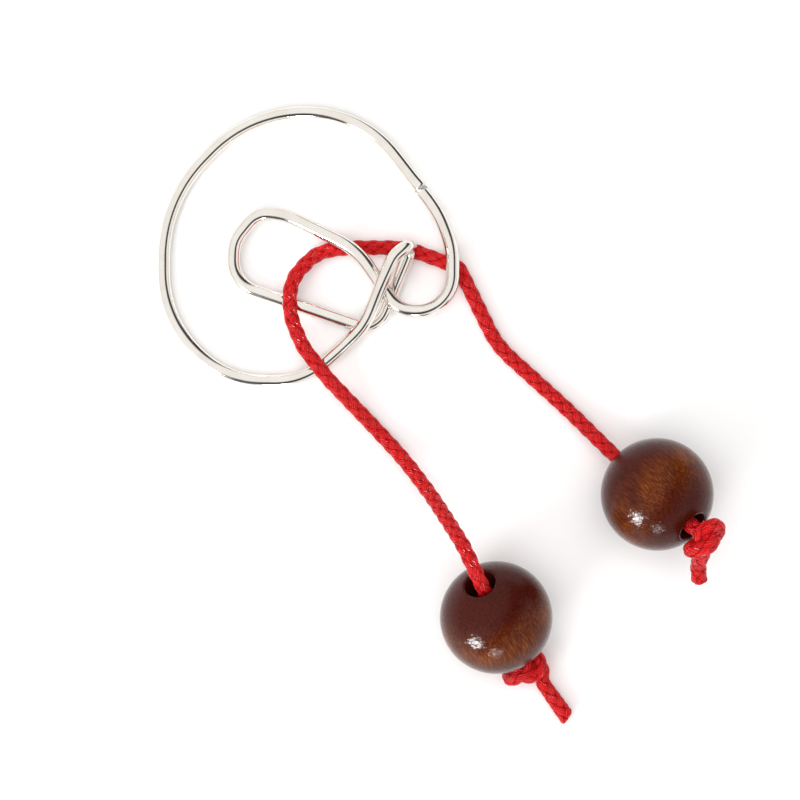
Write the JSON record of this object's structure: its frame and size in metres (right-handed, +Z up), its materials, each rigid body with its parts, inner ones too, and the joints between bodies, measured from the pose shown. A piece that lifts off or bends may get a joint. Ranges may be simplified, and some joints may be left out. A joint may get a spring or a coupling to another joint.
{
  "type": "metal ring disentanglement puzzle",
  "caption": "Bent-wire ring puzzle with an inner loop, hook and curl, threaded by a braided cord that ends in knotted wooden beads.",
  "frame": {"origin": "on the surface that the puzzle lies on, under the middle of the box around the wire and the beads", "axes": "+Z up, out of the surface; +X from the ring towards the right bead; +Y from the beads towards the top of the ring"},
  "size_m": [0.1263, 0.1389, 0.0255],
  "materials": {
    "plated_wire": "bright nickel plate, polished",
    "weld_metal": "dull ground weld under thin plating",
    "bead_wood": "dark brown stained wood with fine golden grain, gloss lacquer",
    "red_cord": "glossy synthetic braid, bright red"
  },
  "bodies": {
    "wire": {"puzzle_wire": "plated_wire", "butt_weld": "weld_metal", "cord_threaded": "red_cord"},
    "left_leg": {"cord_left_leg": "red_cord", "knot_left": "red_cord", "tail_left": "red_cord"},
    "right_leg": {"cord_right_leg": "red_cord", "knot_right": "red_cord", "tail_right": "red_cord"},
    "left_bead": {"bead_left": "bead_wood"},
    "right_bead": {"bead_right": "bead_wood"}
  },
  "joints": [
    {"name": "cord_left_swing", "type": "hinge", "parent": "wire", "child": "left_leg", "pos_m": [-0.026, 0.0052, 0.0048], "axis": [0, 0, 1], "range_deg": [-25, 8]},
    {"name": "cord_right_swing", "type": "hinge", "parent": "wire", "child": "right_leg", "pos_m": [0.006, 0.027, 0.0016], "axis": [0, 0, 1], "range_deg": [-8, 25]},
    {"name": "bead_left_spin", "type": "hinge", "parent": "left_leg", "child": "left_bead", "pos_m": [0.014, -0.051, 0.0125], "axis": [0.3199, -0.6708, -0.6691], "continuous": true},
    {"name": "bead_right_spin", "type": "hinge", "parent": "right_leg", "child": "right_bead", "pos_m": [0.0497, -0.0237, 0.0125], "axis": [0.6218, -0.59, 0.515], "continuous": true}
  ]
}
